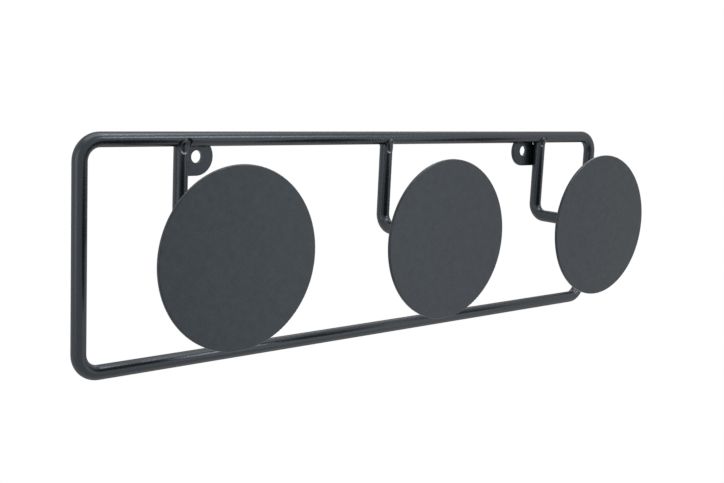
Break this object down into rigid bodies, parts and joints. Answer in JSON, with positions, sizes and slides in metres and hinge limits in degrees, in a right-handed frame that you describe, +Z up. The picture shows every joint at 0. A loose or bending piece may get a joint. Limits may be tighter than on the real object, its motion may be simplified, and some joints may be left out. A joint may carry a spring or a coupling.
{
  "type": "coat hook rail",
  "caption": "Wall coat rail: a rounded rectangular frame of dark powder-coated round rod with forward hooks, each ending in a flat round disc, and holed lugs to screw it to the wall.",
  "frame": {"origin": "on the wall plane, midway between the two screw holes", "axes": "+X along the rail to the viewer's right, +Y into the wall, +Z up; the discs face -Y"},
  "size_m": [0.422, 0.0645, 0.129],
  "materials": {
    "powder_coat": "satin, fine-textured powder coat"
  },
  "bodies": {
    "root": {"frame_rod": "powder_coat", "hanger_left": "powder_coat", "hanger_middle": "powder_coat", "hanger_right": "powder_coat", "disc_left": "powder_coat", "disc_middle": "powder_coat", "disc_right": "powder_coat", "lug_left": "powder_coat", "lug_right": "powder_coat", "front_weld_left": "powder_coat", "front_weld_middle": "powder_coat", "front_weld_right": "powder_coat", "back_weld_left": "powder_coat", "back_weld_middle": "powder_coat", "back_weld_right": "powder_coat", "disc_weld_left": "powder_coat", "disc_weld_middle": "powder_coat", "disc_weld_right": "powder_coat", "rail_seam_left": "powder_coat", "rail_seam_right": "powder_coat", "hanger_seam_left": "powder_coat", "hanger_seam_right": "powder_coat"}
  },
  "joints": []
}
